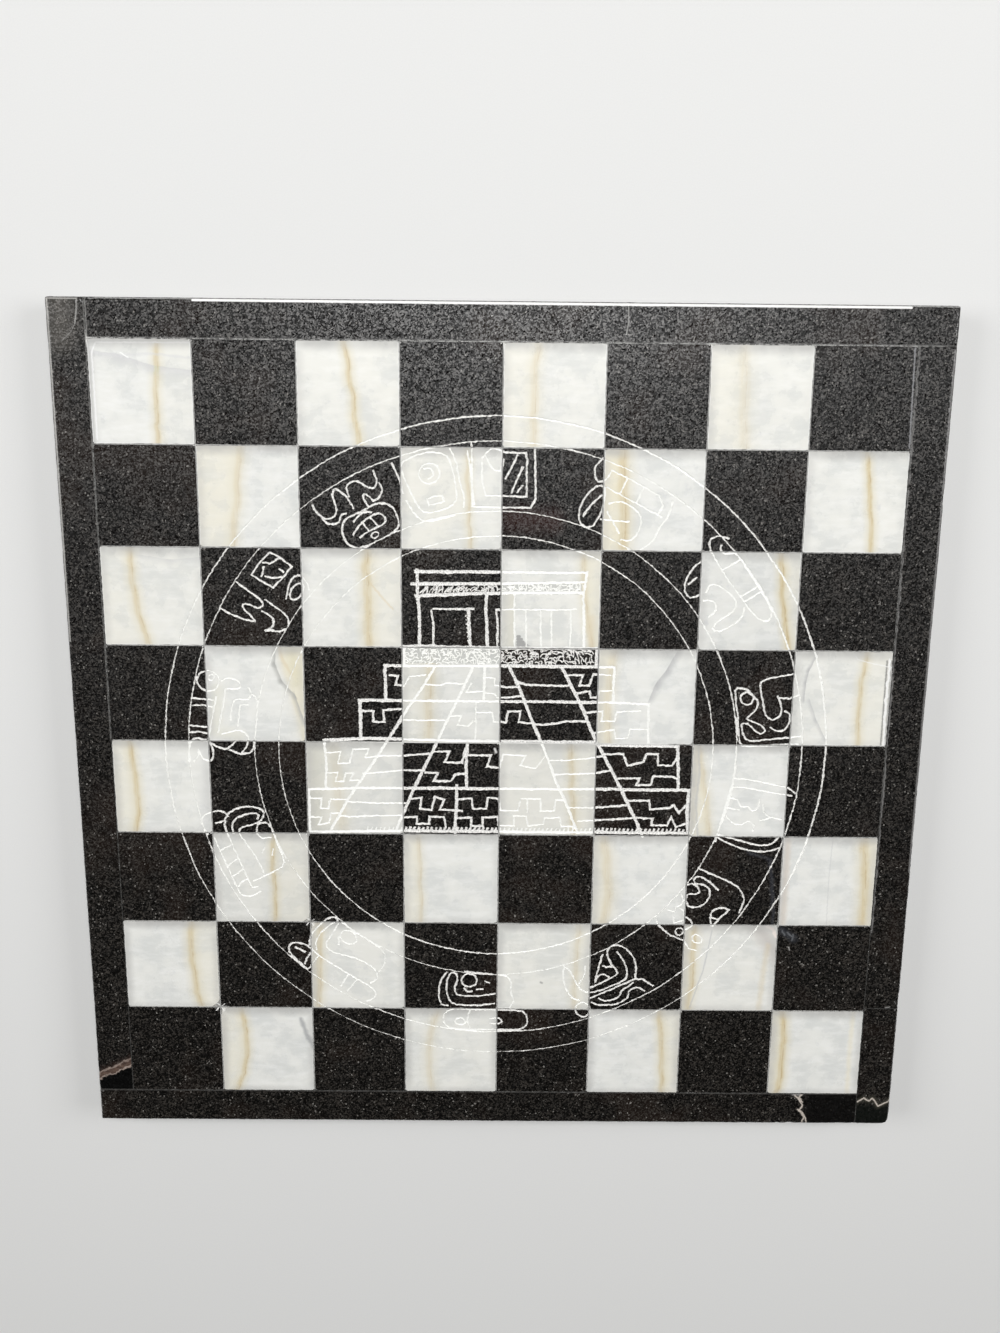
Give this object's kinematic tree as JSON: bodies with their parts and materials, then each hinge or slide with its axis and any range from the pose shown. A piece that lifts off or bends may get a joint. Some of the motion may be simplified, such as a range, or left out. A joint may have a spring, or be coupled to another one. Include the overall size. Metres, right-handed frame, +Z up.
{
  "type": "chessboard",
  "caption": "Square stone chessboard with a border and an engraved stepped temple inside circles, on a cast slab with felt under it.",
  "frame": {"origin": "underside of the felt at the centre of the board's bounding box", "axes": "+Z up out of the playing face, +X from file a to file h, +Y from rank 1 to rank 8"},
  "size_m": [0.254, 0.254, 0.0117],
  "materials": {
    "black_marble": "polished",
    "white_onyx": "polished",
    "seam_resin": "satin",
    "cast_slab": "matte",
    "felt": "napped"
  },
  "bodies": {
    "root": {"white_square_b1": "white_onyx", "white_square_d1": "white_onyx", "white_square_f1": "white_onyx", "white_square_h1": "white_onyx", "white_square_a2": "white_onyx", "white_square_c2": "white_onyx", "white_square_e2": "white_onyx", "white_square_g2": "white_onyx", "white_square_b3": "white_onyx", "white_square_d3": "white_onyx", "white_square_f3": "white_onyx", "white_square_h3": "white_onyx", "white_square_a4": "white_onyx", "white_square_c4": "white_onyx", "white_square_e4": "white_onyx", "white_square_g4": "white_onyx", "white_square_b5": "white_onyx", "white_square_d5": "white_onyx", "white_square_f5": "white_onyx", "white_square_h5": "white_onyx", "white_square_a6": "white_onyx", "white_square_c6": "white_onyx", "white_square_e6": "white_onyx", "white_square_g6": "white_onyx", "white_square_b7": "white_onyx", "white_square_d7": "white_onyx", "white_square_f7": "white_onyx", "white_square_h7": "white_onyx", "white_square_a8": "white_onyx", "white_square_c8": "white_onyx", "white_square_e8": "white_onyx", "white_square_g8": "white_onyx", "black_squares_rank_1": "black_marble", "black_squares_rank_2": "black_marble", "black_squares_rank_3": "black_marble", "black_squares_rank_4": "black_marble", "black_squares_rank_5": "black_marble", "black_squares_rank_6": "black_marble", "black_squares_rank_7": "black_marble", "black_squares_rank_8": "black_marble", "border_left": "black_marble", "border_top": "black_marble", "border_right": "black_marble", "border_right_end": "black_marble", "border_bottom": "black_marble", "resin_bed": "seam_resin", "backing_slab": "cast_slab", "felt_sheet": "felt"}
  },
  "joints": []
}
